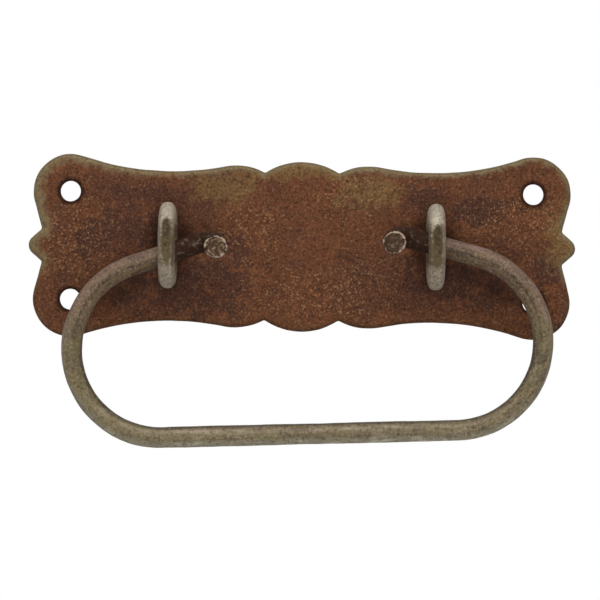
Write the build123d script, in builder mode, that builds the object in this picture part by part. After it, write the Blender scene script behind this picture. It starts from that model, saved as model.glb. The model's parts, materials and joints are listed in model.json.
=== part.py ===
"""Trunk handle: a scalloped back plate, two riveted ring eyes and a drop bail.

Millimetres, +Z up. The plate stands in the XZ plane with its back face on Y = 0 and its
front towards -Y. The origin is the middle of that back face, midway between the screws.
"""

import os
from math import cos, radians, sin, sqrt, tan

from build123d import *

# Screw holes, which also carry the plate's round corners
SCREW_SPACING_X = 107.4
SCREW_SPACING_Z = 25.1
SCREW_HOLE_DIAMETER = 4.8
PUNCH_ROUND = 0.35  # rolled-over rim of each punched hole, on the front

# Plate outline: middle lobe, side lobes, long hollow sweeps, round corners and end nubs
PLATE_THICKNESS = 2.0
MIDDLE_HEIGHT = 39.4  # over the two middle lobes
WAIST_HEIGHT = 34.8  # between the deepest points of the sweeps
MIDDLE_LOBE_RADIUS = 15.3
SIDE_LOBE_RADIUS = 14.4
SIDE_LOBE_SPACING = 31.0
SWEEP_RADIUS = 64.6
CORNER_RADIUS = 8.65
SIDE_INSET = 1.95  # how far the notch beside a nub lies inside the corners
NUB_HEIGHT = 7.6  # between the two notches
NUB_REACH = 3.1  # how far the tip stands out of the notches
NUB_TIP_RADIUS = 2.4
NOTCH_ROUND = 0.7  # inside corners, beside the nubs and between the lobes
EDGE_ROUND = 1.2  # rolled front edge

# Ring eyes, each with a shank through the plate
EYE_SPACING = 61.4
EYE_DIAMETER = 19.8
EYE_WIDTH = 3.9  # across the ring's oval section, as seen from the front
EYE_DEPTH = 5.2  # of that section, from the hole to the rim
EYE_RIM_WIDTH = 1.4  # flat band around the ring
EYE_SEAT = 0.8  # how much of the ring is forged flat against the plate
SHANK_DIAMETER = 3.0
RIVET_HEAD_DIAMETER = 5.8  # mouth of the countersink that the shank is hammered into
RIVET_ANGLE = 90
RIVET_SINK = 0.1  # the rivet lies this much below the back face
RIVET_CLEARANCE = 0.05

# Bail of bent rod, and how it hangs in its loose eyes
ROD_DIAMETER = 4.76
ARM_RADIUS = 20.2  # of the rod's centre line
RUN_SLOPE = 17.2  # degrees, of the straight runs through the eyes
ARM_RUN = 9.5  # along the rod from eye to arm, when the bail is centred
TIP_SPACING = 40.6
KNEE_RADIUS = 5.0
TIP_DROOP = 19.5  # degrees, the forward ends lean down from square
TIP_CLEARANCE = 2.1  # the ends are this much shorter than the way from eye middle to plate
HEAD_DIAMETER = 5.5  # each sheared end is slightly upset
HEAD_LENGTH = 1.2
HEAD_ROUND = 0.35
HANG_CLEARANCE = 0.3  # between the rod and the eye that carries it
BAIL_SHIFT = 0.8  # the bail lies this far to the right
BAIL_SKEW = 1.85  # degrees, its left end hangs lower

# Outline points of the plate's upper right quarter, where every arc runs smoothly into the next
hole = Vector(SCREW_SPACING_X / 2, SCREW_SPACING_Z / 2)
corner_reach = SWEEP_RADIUS + CORNER_RADIUS
sweep_rise = WAIST_HEIGHT / 2 + SWEEP_RADIUS
sweep_x = hole.X - sqrt(corner_reach**2 - (sweep_rise - hole.Y) ** 2)
sweep_centre = Vector(sweep_x, sweep_rise)
side_reach = SWEEP_RADIUS + SIDE_LOBE_RADIUS
side_x = SIDE_LOBE_SPACING / 2
side_centre = Vector(side_x, sweep_rise - sqrt(side_reach**2 - (sweep_x - side_x) ** 2))
middle_centre = Vector(0, MIDDLE_HEIGHT / 2 - MIDDLE_LOBE_RADIUS)
middle_top = Vector(0, MIDDLE_HEIGHT / 2)
notch = Vector(hole.X + CORNER_RADIUS - SIDE_INSET, NUB_HEIGHT / 2)
nub_centre = Vector(notch.X + NUB_REACH - NUB_TIP_RADIUS, 0)
nub_tip = Vector(notch.X + NUB_REACH, 0)


def towards(start: Vector, end: Vector, distance: float) -> Vector:
    """The point at a distance from start on the line to end."""
    return start + (end - start).normalized() * distance


def crossing(centre_a: Vector, radius_a: float, centre_b: Vector, radius_b: float) -> Vector:
    """The upper one of the points that two circles share."""
    span = centre_b - centre_a
    along = (span.length**2 + radius_a**2 - radius_b**2) / (2 * span.length)
    across = sqrt(radius_a**2 - along**2)
    return towards(centre_a, centre_b, along) + span.rotate(Axis.Z, 90).normalized() * across


def tangent_point(start: Vector, centre: Vector, radius: float, turn: float) -> Vector:
    """Where a line from start touches a circle, on the side that turn (1 or -1) names."""
    span = start - centre
    along = radius**2 / span.length
    across = sqrt(radius**2 - along**2)
    return towards(centre, start, along) + span.rotate(Axis.Z, 90).normalized() * across * turn


cusp = crossing(middle_centre, MIDDLE_LOBE_RADIUS, side_centre, SIDE_LOBE_RADIUS)
side_end = towards(side_centre, sweep_centre, SIDE_LOBE_RADIUS)
corner_start = towards(hole, sweep_centre, CORNER_RADIUS)
corner_end = tangent_point(notch, hole, CORNER_RADIUS, 1)
nub_start = tangent_point(notch, nub_centre, NUB_TIP_RADIUS, -1)

front = Plane.XZ.offset(PLATE_THICKNESS)
back = Plane(origin=(0, 0, 0), x_dir=(1, 0, 0), z_dir=(0, 1, 0))
eye_x = EYE_SPACING / 2

# Sizes of the eyes that the bail hangs by
half_width = EYE_WIDTH / 2
half_depth = EYE_DEPTH / 2
ring_radius = EYE_DIAMETER / 2 - half_depth * sqrt(1 - (EYE_RIM_WIDTH / EYE_WIDTH) ** 2)
eye_stand = EYE_DIAMETER / 2 - EYE_SEAT
pivot_y = -PLATE_THICKNESS - eye_stand
shank_radius = SHANK_DIAMETER / 2
rivet_slope = tan(radians(RIVET_ANGLE / 2))
rivet_radius = RIVET_HEAD_DIAMETER / 2 - RIVET_CLEARANCE
rivet_depth = (rivet_radius - shank_radius) / rivet_slope

os.makedirs("parts", exist_ok=True)


# Back plate
with BuildPart() as back_plate:
    with BuildSketch(Plane.XZ) as outline:
        with BuildLine():
            RadiusArc(middle_top, cusp, MIDDLE_LOBE_RADIUS)
            RadiusArc(cusp, side_end, SIDE_LOBE_RADIUS)
            RadiusArc(side_end, corner_start, -SWEEP_RADIUS)
            RadiusArc(corner_start, corner_end, CORNER_RADIUS)
            Polyline(corner_end, notch, nub_start)
            RadiusArc(nub_start, nub_tip, NUB_TIP_RADIUS)
            mirror(about=Plane.XZ)
            mirror(about=Plane.YZ)
        make_face()
        inside_corners = [
            outline.vertices().sort_by_distance((across * corner.X, up * corner.Y))[0]
            for corner in (cusp, notch)
            for across in (-1, 1)
            for up in (-1, 1)
        ]
        fillet(inside_corners, NOTCH_ROUND)
    extrude(amount=PLATE_THICKNESS)
    fillet(back_plate.faces().sort_by(Axis.Y)[0].edges(), EDGE_ROUND)
    with Locations(front):
        with GridLocations(SCREW_SPACING_X, SCREW_SPACING_Z, 2, 2):
            Hole(SCREW_HOLE_DIAMETER / 2)
    fillet(back_plate.faces().sort_by(Axis.Y)[0].inner_wires().edges(), PUNCH_ROUND)
    with Locations(back):
        with Locations((-eye_x, 0), (eye_x, 0)):
            CounterSinkHole(
                shank_radius + RIVET_CLEARANCE,
                RIVET_HEAD_DIAMETER / 2,
                counter_sink_angle=RIVET_ANGLE,
            )
back_plate.part.label = "back_plate"
export_step(back_plate.part, "parts/back_plate.step")


# Ring eyes
for name, side in (("left_eye", -1), ("right_eye", 1)):
    middle = (side * eye_x, pivot_y, 0)
    with BuildPart() as eye:
        with BuildSketch(Plane(origin=middle, x_dir=(1, 0, 0), z_dir=(0, -1, 0))):
            with Locations((0, ring_radius)):
                Ellipse(half_width, half_depth)
            with Locations((0, EYE_DIAMETER / 2)):
                Rectangle(EYE_WIDTH, EYE_DEPTH, align=(Align.CENTER, Align.MIN), mode=Mode.SUBTRACT)
        revolve(axis=Axis(middle, (1, 0, 0)))
        split(bisect_by=front, keep=Keep.TOP)
        with BuildSketch(Plane.XY.shift_origin((side * eye_x, 0, 0))):
            with BuildLine():
                Polyline(
                    (0, -PLATE_THICKNESS),
                    (shank_radius, -PLATE_THICKNESS),
                    (shank_radius, -rivet_depth),
                    (rivet_radius - RIVET_SINK * rivet_slope, -RIVET_SINK),
                    (0, -RIVET_SINK),
                    close=True,
                )
            make_face()
        revolve(axis=Axis((side * eye_x, 0, 0), (0, 1, 0)))
    eye.part.label = name
    export_step(eye.part, f"parts/{name}.step")


# Bail, laid out from the point where its left run crosses the middle of the left eye
slope = radians(RUN_SLOPE)
skew = radians(BAIL_SKEW)
rod_radius = ROD_DIAMETER / 2
lean = slope + skew  # of the left run, which rests on its eye
eye_reach = sqrt((half_width * sin(lean)) ** 2 + (half_depth * cos(lean)) ** 2)
hang = ring_radius - (eye_reach + rod_radius + HANG_CLEARANCE) / cos(lean)
bail_plane = Plane(
    origin=(-eye_x, pivot_y, -hang),
    x_dir=(cos(skew), 0, sin(skew)),
    z_dir=(0, -1, 0),
)
half_span = eye_x + BAIL_SHIFT
bail_middle = Plane(
    origin=bail_plane.from_local_coords((half_span, 0, 0)),
    x_dir=(0, -1, 0),
    z_dir=bail_plane.x_dir,
)
run = ARM_RUN - BAIL_SHIFT / cos(slope)
run_x = -run * cos(slope)
run_y = -run * sin(slope)
arm_x = run_x + ARM_RADIUS * sin(slope)
arm_y = run_y - ARM_RADIUS * cos(slope)
bar_y = arm_y - ARM_RADIUS
knee_x = half_span - TIP_SPACING / 2
knee_y = knee_x * tan(slope)
droop = radians(TIP_DROOP)
tip_reach = eye_stand - TIP_CLEARANCE
tip_y = knee_y - tip_reach * sin(droop)
tip_z = tip_reach * cos(droop)
tip_plane = Plane(
    origin=bail_plane.from_local_coords((knee_x, tip_y, tip_z)),
    x_dir=bail_plane.x_dir,
    z_dir=bail_plane.z_dir.rotate(Axis((0, 0, 0), bail_plane.x_dir), TIP_DROOP),
)

with BuildPart() as bail:
    with BuildLine(bail_plane) as rod_line:
        FilletPolyline(
            (knee_x, tip_y, tip_z), (knee_x, knee_y, 0), (run_x, run_y, 0), radius=KNEE_RADIUS
        )
        CenterArc((arm_x, arm_y), ARM_RADIUS, 90 + RUN_SLOPE, 180 - RUN_SLOPE)
        Line((arm_x, bar_y), (half_span, bar_y))
    with BuildSketch(tip_plane) as rod_section:
        Circle(rod_radius)
    sweep(sections=rod_section.sketch, path=rod_line.wire())
    with BuildSketch(tip_plane.offset(-HEAD_LENGTH)):
        Circle(rod_radius)
    with BuildSketch(tip_plane):
        Circle(HEAD_DIAMETER / 2)
    loft()
    fillet(bail.faces().sort_by(Axis.Y)[0].edges(), HEAD_ROUND)
    mirror(about=bail_middle)
bail.part.label = "bail"
export_step(bail.part, "parts/bail.step")
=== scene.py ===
"""Trunk handle: weathered meshes, procedural finishes, studio and camera round the CAD frame.

Metres, +Z up, the plate's back face on Y = 0 and its front towards -Y, as in the CAD. Each of
the four pieces is modelled again at wear scale and stands for the CAD node of the same form.
"""

import json
import logging
from dataclasses import dataclass, field
from enum import Enum
from functools import reduce
from math import ceil, copysign, cos, pi, radians, sin, sqrt, tan
from typing import Callable, Iterable, Optional, Sequence, Union

import bmesh
import bpy
from mathutils import Matrix, Vector, kdtree, noise


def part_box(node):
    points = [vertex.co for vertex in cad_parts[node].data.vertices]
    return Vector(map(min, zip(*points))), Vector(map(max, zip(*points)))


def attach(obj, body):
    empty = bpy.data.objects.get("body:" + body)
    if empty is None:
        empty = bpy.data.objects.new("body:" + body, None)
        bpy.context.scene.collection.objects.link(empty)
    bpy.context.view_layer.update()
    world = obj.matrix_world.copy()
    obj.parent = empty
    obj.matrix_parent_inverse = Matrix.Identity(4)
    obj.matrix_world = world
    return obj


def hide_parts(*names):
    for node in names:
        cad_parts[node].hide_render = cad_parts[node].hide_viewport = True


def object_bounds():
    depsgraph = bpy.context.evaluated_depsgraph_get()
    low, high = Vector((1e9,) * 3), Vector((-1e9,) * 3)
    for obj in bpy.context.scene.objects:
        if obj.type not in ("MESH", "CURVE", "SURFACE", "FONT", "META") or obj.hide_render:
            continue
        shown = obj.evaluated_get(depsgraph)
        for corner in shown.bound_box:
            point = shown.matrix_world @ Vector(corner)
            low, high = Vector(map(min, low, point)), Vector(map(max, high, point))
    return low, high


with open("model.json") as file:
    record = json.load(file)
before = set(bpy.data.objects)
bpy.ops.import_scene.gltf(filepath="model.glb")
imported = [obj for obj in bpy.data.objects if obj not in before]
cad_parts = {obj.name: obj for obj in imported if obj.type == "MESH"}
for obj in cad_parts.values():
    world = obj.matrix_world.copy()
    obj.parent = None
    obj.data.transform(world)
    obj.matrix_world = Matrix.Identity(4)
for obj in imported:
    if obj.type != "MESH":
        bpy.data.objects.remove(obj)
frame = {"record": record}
CAD_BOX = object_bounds()

MM = 0.001
MERGE = 0.0005 * MM
NOISE_MIDDLE = 0.5
X_AXIS = Vector((1, 0, 0))
Y_AXIS = Vector((0, 1, 0))
Z_AXIS = Vector((0, 0, 1))
LOG = logging.getLogger("trunk_handle")

Colour = tuple[float, float, float]
Triple = tuple[float, float, float]
Geometry = list[Union[bmesh.types.BMVert, bmesh.types.BMEdge]]

WHITE: Colour = (1.0, 1.0, 1.0)


class Body(Enum):
    """The rigid bodies that the pieces ride on."""

    PLATE = "plate"
    BAIL = "bail"


class Side(Enum):
    """The two ends of the handle, as the photograph shows them."""

    LEFT = -1
    RIGHT = 1


class Blend(Enum):
    """How one colour lies over another."""

    COVER = "MIX"
    DARKEN = "MULTIPLY"


# Measures and plane geometry


def progress(value: float, start: float, end: float) -> float:
    """How far a value has come from start to end, between 0 and 1."""
    return min(1.0, max(0.0, (value - start) / (end - start)))


def between(first: float, second: float, share: float) -> float:
    """A value that goes from the first to the second as the share goes from 0 to 1."""
    return first * (1 - share) + second * share


def towards(start: Vector, end: Vector, distance: float) -> Vector:
    """The point at a distance from start on the line to end."""
    return start + (end - start).normalized() * distance


def quarter_turn(arrow: Vector) -> Vector:
    """An arrow in the plate's plane, turned a quarter to the left as seen from the front."""
    return Vector((-arrow.z, 0, arrow.x))


def crossing(centre_a: Vector, radius_a: float, centre_b: Vector, radius_b: float) -> Vector:
    """The upper one of the points that two circles in the plate's plane share.

    Args:
        centre_a: Centre of the circle on the left.
        radius_a: Its radius.
        centre_b: Centre of the circle on the right.
        radius_b: Its radius.

    Returns:
        The shared point.
    """
    span = centre_b - centre_a
    along = (span.length_squared + radius_a**2 - radius_b**2) / (2 * span.length)
    across = sqrt(radius_a**2 - along**2)
    return towards(centre_a, centre_b, along) + quarter_turn(span).normalized() * across


def tangent_point(start: Vector, centre: Vector, radius: float, turn: int) -> Vector:
    """Where a line from a point touches a circle in the plate's plane.

    Args:
        start: The point.
        centre: Centre of the circle.
        radius: Its radius.
        turn: 1 or -1, the side on which the line touches.

    Returns:
        The touching point.
    """
    span = start - centre
    along = radius**2 / span.length
    across = sqrt(radius**2 - along**2)
    return towards(centre, start, along) + quarter_turn(span).normalized() * across * turn


def bend(before: Vector, corner: Vector, after: Vector, radius: float) -> tuple[Vector, Vector, Vector]:
    """Round the corner between two straight runs.

    Args:
        before: A point on the run that comes in.
        corner: Where the runs meet.
        after: A point on the run that leaves.
        radius: Radius of the rounding.

    Returns:
        Where the arc starts, its centre and where it ends.
    """
    back = (before - corner).normalized()
    ahead = (after - corner).normalized()
    half = back.angle(ahead) / 2
    reach = radius / tan(half)
    centre = corner + (back + ahead).normalized() * (radius / sin(half))
    return corner + back * reach, centre, corner + ahead * reach


# Mesh tools


def verts_of(geom: Iterable[object]) -> list[bmesh.types.BMVert]:
    """The vertices among mixed geometry."""
    return [item for item in geom if isinstance(item, bmesh.types.BMVert)]


def edges_of(geom: Iterable[object]) -> list[bmesh.types.BMEdge]:
    """The edges among mixed geometry."""
    return [item for item in geom if isinstance(item, bmesh.types.BMEdge)]


def ring_around(verts: Iterable[bmesh.types.BMVert]) -> Geometry:
    """Vertices of a ring together with the edges between them.

    Args:
        verts: The vertices, some of them perhaps named twice.

    Returns:
        Each vertex once, then each edge once.
    """
    ring = dict.fromkeys(verts)
    edges = dict.fromkeys(
        edge for vert in ring for edge in vert.link_edges if all(end in ring for end in edge.verts)
    )
    return [*ring, *edges]


class Tracer:
    """Carries a vertex or a ring along lines and arcs and leaves edges or faces behind it."""

    def __init__(self, bm: bmesh.types.BMesh, geom: Geometry, place: Vector, pitch: float) -> None:
        """Start at a place.

        Args:
            bm: The mesh to draw in.
            geom: The vertex, or the vertices and edges of a ring, that is carried.
            place: Where it is now; a ring's middle.
            pitch: About how far apart the steps lie.
        """
        self.bm = bm
        self.geom = geom
        self.place = place.copy()
        self.pitch = pitch
        self.length = 0.0
        self.length_layer: Optional[bmesh.types.BMLayerItem] = None

    def line(self, end: Vector) -> None:
        """Go straight to a point.

        Args:
            end: The point.
        """
        way = end - self.place
        steps = max(1, round(way.length / self.pitch))
        self._advance(steps, way.length / steps, shift=way / steps)
        self.place = end.copy()

    def arc(self, centre: Vector, end: Vector) -> None:
        """Go round a centre to a point, less than half a turn.

        Args:
            centre: The centre.
            end: The point.
        """
        start = self.place - centre
        finish = end - centre
        angle = start.angle(finish)
        steps = max(2, ceil(angle * start.length / self.pitch))
        stride = angle * start.length / steps
        self._advance(steps, stride, centre=centre, axis=start.cross(finish), angle=angle / steps)
        self.place = end.copy()

    def _advance(
        self,
        steps: int,
        stride: float,
        centre: Vector = Vector(),
        axis: Vector = Z_AXIS,
        angle: float = 0.0,
        shift: Vector = Vector(),
    ) -> None:
        """Take equal steps with the spin operator.

        Args:
            steps: How many.
            stride: Length of each, added to the length layer where there is one.
            centre: Centre of the turn.
            axis: Axis of the turn.
            angle: Turn of each step.
            shift: Straight way of each step.
        """
        for _ in range(steps):
            spun = bmesh.ops.spin(
                self.bm, geom=self.geom, cent=centre, axis=axis, dvec=shift, angle=angle, steps=1
            )
            self.geom = spun["geom_last"]
            self.length += stride
            if self.length_layer is not None:
                for vert in verts_of(self.geom):
                    vert[self.length_layer] = self.length


def lathe(profile: Tracer, axis: Vector, steps: int) -> None:
    """Turn everything that a tracer has drawn once round an axis through the origin.

    Args:
        profile: The tracer, whose mesh holds nothing else.
        axis: Direction of the axis.
        steps: Number of faces round the turn.
    """
    bm = profile.bm
    bmesh.ops.spin(
        bm,
        geom=bm.verts[:] + bm.edges[:],
        cent=Vector(),
        axis=axis,
        angle=2 * pi,
        steps=steps,
        use_merge=True,
    )
    bmesh.ops.remove_doubles(bm, verts=bm.verts[:], dist=MERGE)


def to_object(bm: bmesh.types.BMesh, name: str, sharp_angle: float) -> bpy.types.Object:
    """Put a finished bmesh into the scene.

    Args:
        bm: The mesh, which is freed.
        name: Name of the object.
        sharp_angle: Edges that turn by more than this, in radians, stay crisp.

    Returns:
        The object, at the origin.
    """
    mesh = bpy.data.meshes.new(name)
    bm.to_mesh(mesh)
    bm.free()
    mesh.shade_smooth()
    mesh.set_sharp_from_angle(angle=sharp_angle)
    made = bpy.data.objects.new(name, mesh)
    bpy.context.scene.collection.objects.link(made)
    return made


def stand_for(piece: bpy.types.Object, body: Body, node: str) -> None:
    """Let a piece ride on a body in place of a CAD node.

    Args:
        piece: The piece.
        body: The body that carries it.
        node: The node that it replaces.
    """
    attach(piece, body.value)
    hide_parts(node)


# Wear, and painted light and shade


@dataclass(frozen=True)
class Waviness:
    """One layer of unevenness in a worked surface."""

    wavelength: float
    height: float
    seed: float

    def at(self, point: Vector) -> float:
        """How far the surface rises at a point."""
        return self.height * noise.noise(point / self.wavelength + self.seed * Vector((1, 1, 1)))


@dataclass(frozen=True)
class Slope:
    """A strength, for wear and for painted light and shade, that grows from nothing at one place to its
    full strength at another.
    """

    start: float
    end: float
    strength: float = 1.0

    def at(self, place: float) -> float:
        """Strength at a place."""
        return self.strength * progress(place, self.start, self.end)


@dataclass(frozen=True)
class Ridge:
    """A strength, for wear and for painted light and shade, that is strongest at one place and fades evenly
    to both sides.
    """

    middle: float
    reach: float
    strength: float = 1.0

    def at(self, place: float) -> float:
        """Strength at a place."""
        return self.strength * max(0.0, 1 - abs(place - self.middle) / self.reach)


WearAndShade = Union[Slope, Ridge]


def total(wears: Sequence[WearAndShade], place: float) -> float:
    """Strength of several kinds of wear and painted shade together."""
    return sum(wear.at(place) for wear in wears)


def weather(
    bm: bmesh.types.BMesh,
    layers: Sequence[Waviness],
    share: Optional[dict[bmesh.types.BMVert, float]] = None,
) -> None:
    """Move a mesh along its normals by layers of unevenness.

    Args:
        bm: The mesh.
        layers: The layers, which add up.
        share: How much of it each vertex takes; one that isn't named takes all.
    """
    bm.normal_update()
    shares = share or {}
    moves = [
        (vert, vert.normal * (shares.get(vert, 1.0) * sum(layer.at(vert.co) for layer in layers)))
        for vert in bm.verts
    ]
    for vert, move in moves:
        vert.co += move


# Shader expressions


class Value:
    """A shader socket; operators on it add Math nodes."""

    def __init__(self, graph: "Graph", socket: bpy.types.NodeSocket) -> None:
        """Wrap a socket of a graph."""
        self.graph = graph
        self.socket = socket

    def _math(self, operation: str, left: "Number", right: "Number") -> "Value":
        """A Math node on two numbers."""
        return self.graph.node("ShaderNodeMath", {"operation": operation}, {0: left, 1: right})

    def __add__(self, other: "Number") -> "Value":
        """Sum of two numbers."""
        return self._math("ADD", self, other)

    def __radd__(self, other: "Number") -> "Value":
        """Sum of two numbers, this one second."""
        return self._math("ADD", other, self)

    def __sub__(self, other: "Number") -> "Value":
        """Difference of two numbers."""
        return self._math("SUBTRACT", self, other)

    def __rsub__(self, other: "Number") -> "Value":
        """Difference of two numbers, this one second."""
        return self._math("SUBTRACT", other, self)

    def __mul__(self, other: "Number") -> "Value":
        """Product of two numbers."""
        return self._math("MULTIPLY", self, other)

    def __rmul__(self, other: "Number") -> "Value":
        """Product of two numbers, this one second."""
        return self._math("MULTIPLY", other, self)

    @property
    def sway(self) -> "Value":
        """How far a noise lies above or below its middle."""
        return self - NOISE_MIDDLE

    def most(self, other: "Number") -> "Value":
        """The larger of two numbers."""
        return self._math("MAXIMUM", self, other)

    def ramp(self, low: float, high: float) -> "Value":
        """A soft step from 0 at low to 1 at high.

        Args:
            low: Where it is 0; it may lie above high.
            high: Where it is 1.

        Returns:
            The step.
        """
        rising = self.graph.node(
            "ShaderNodeMapRange",
            {"interpolation_type": "SMOOTHSTEP"},
            {"Value": self, 1: min(low, high), 2: max(low, high)},
        )
        return rising if low < high else 1 - rising


Number = Union[Value, float]
Paint = Union[Value, Colour]


@dataclass(frozen=True)
class Grain:
    """A layer of cloudy noise: size of its features, seed, number and strength of finer layers."""

    size: float
    seed: float
    detail: float = 2.0
    roughness: float = 0.5


@dataclass(frozen=True)
class Marks:
    """Marks that a varying value leaves: none at bare, all at full, as strong as their cover."""

    bare: float
    full: float
    cover: float = 1.0

    def on(self, value: Value) -> Value:
        """How much of the marks shows."""
        step = value.ramp(self.bare, self.full)
        return step if self.cover == 1.0 else step * self.cover


class Graph:
    """A node tree that grows by calls and expressions."""

    def __init__(self, tree: bpy.types.NodeTree) -> None:
        """Work in a tree that holds its plain nodes."""
        self.tree = tree

    def node(
        self,
        kind: str,
        settings: Optional[dict[str, object]] = None,
        sockets: Optional[dict[Union[str, int], object]] = None,
        output: Union[str, int] = 0,
    ) -> Value:
        """Add a node.

        Args:
            kind: Its type.
            settings: Its properties, which are set first.
            sockets: Values or links of its inputs, by name or number.
            output: The output that is wanted.

        Returns:
            That output.
        """
        made = self.tree.nodes.new(kind)
        for name, setting in (settings or {}).items():
            setattr(made, name, setting)
        for name, value in (sockets or {}).items():
            self.feed(made.inputs[name], value)
        return Value(self, made.outputs[output])

    def feed(self, socket: bpy.types.NodeSocket, value: object) -> None:
        """Link a socket or set its value.

        Args:
            socket: The input.
            value: A value to link, or a number, colour or vector to set.
        """
        if isinstance(value, Value):
            self.tree.links.new(value.socket, socket)
        elif socket.type == "RGBA":
            socket.default_value = (*value, 1.0)
        else:
            socket.default_value = value

    def seen(self) -> Value:
        """Whether a ray meets the background directly, in a reflection or through glass.

        Returns:
            1 for such a ray, 0 for any other.
        """
        kinds = ("Camera", "Glossy", "Transmission")
        rays = [self.node("ShaderNodeLightPath", output=f"Is {kind} Ray") for kind in kinds]
        return reduce(Value.most, rays)


class Coat(Graph):
    """The node tree of one material."""

    # A Mix node has one set of sockets for each kind of data; these are those for colours.
    MIX_SHARE = 0
    MIX_UNDER = 6
    MIX_OVER = 7
    MIX_RESULT = 2

    def __init__(self, name: str) -> None:
        """Start a material with its plain shader.

        Args:
            name: Name of the material.
        """
        self.material = bpy.data.materials.new(name)
        self.material.use_nodes = True
        super().__init__(self.material.node_tree)
        self.shader = self.tree.nodes["Principled BSDF"]
        self.place = self.node("ShaderNodeTexCoord", output="Object")

    def noise(self, grain: Grain, within: Optional[Value] = None) -> Value:
        """Cloudy noise, mostly between 0.3 and 0.7.

        Args:
            grain: What it is like.
            within: Coordinates other than the object's.

        Returns:
            The noise.
        """
        return self.node(
            "ShaderNodeTexNoise",
            {"noise_dimensions": "4D"},
            {
                "Vector": within or self.place,
                "W": grain.seed,
                "Scale": 1 / grain.size,
                "Detail": grain.detail,
                "Roughness": grain.roughness,
            },
        )

    def attribute(self, name: str, output: str = "Fac") -> Value:
        """A mesh's own attribute."""
        return self.node("ShaderNodeAttribute", {"attribute_name": name}, output=output)

    def mirrored(self) -> Value:
        """Object coordinates without their signs, so that the handle's quarters share one pattern."""
        return self.node("ShaderNodeVectorMath", {"operation": "ABSOLUTE"}, {0: self.place}, "Vector")

    def component(self, axis: str, within: Optional[Value] = None) -> Value:
        """One of the coordinates, X, Y or Z."""
        return self.node("ShaderNodeSeparateXYZ", sockets={0: within or self.place}, output=axis)

    def spot(
        self,
        middle: Triple,
        reach: Triple = (1.0, 1.0, 1.0),
        turn: float = 0.0,
        within: Optional[Value] = None,
    ) -> Value:
        """Distance from a place, which is 1 at the edge of an egg shape round it.

        Args:
            middle: Middle of the shape.
            reach: Its half sizes along X, Y and Z.
            turn: Its turn about Y, in degrees.
            within: Coordinates other than the object's.

        Returns:
            The distance.
        """
        centred = self.node(
            "ShaderNodeMapping",
            {"vector_type": "TEXTURE"},
            {
                "Vector": within or self.place,
                "Location": middle,
                "Rotation": (0, radians(turn), 0),
                "Scale": reach,
            },
        )
        return self.node("ShaderNodeVectorMath", {"operation": "LENGTH"}, {0: centred}, "Value")

    def mix(self, under: Paint, over: Paint, mask: Number, how: Blend = Blend.COVER) -> Value:
        """One colour over another.

        Args:
            under: The colour below.
            over: The colour above.
            mask: How much of it shows.
            how: The way they blend.

        Returns:
            The mixed colour.
        """
        return self.node(
            "ShaderNodeMix",
            {"data_type": "RGBA", "blend_type": how.value, "clamp_factor": True},
            {self.MIX_SHARE: mask, self.MIX_UNDER: under, self.MIX_OVER: over},
            output=self.MIX_RESULT,
        )

    def dress(self, sockets: dict[str, object]) -> None:
        """Feed the shader's sockets."""
        for name, value in sockets.items():
            self.feed(self.shader.inputs[name], value)

    def bump(self, height: Value, strength: float, distance: float) -> None:
        """Roughen the surface by a height.

        Args:
            height: The height, from 0 to 1.
            strength: How much of it counts.
            distance: How high 1 stands.
        """
        relief = {"Strength": strength, "Distance": distance, "Height": height}
        self.dress({"Normal": self.node("ShaderNodeBump", sockets=relief)})


# Finishes. The plain numbers in their sums are the shares of the layers of noise.


@dataclass(frozen=True)
class Patch:
    """A place on the plate where the finish changes, by its middle and half sizes in millimetres."""

    x: float
    z: float
    half_width: float
    half_height: float
    turn: float = 0.0

    def reach(self, graph: Coat) -> Value:
        """Distance from the patch, 1 at its edge."""
        middle = (self.x * MM, 0.0, self.z * MM)
        return graph.spot(middle, (self.half_width * MM, 1.0, self.half_height * MM), self.turn)


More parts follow.
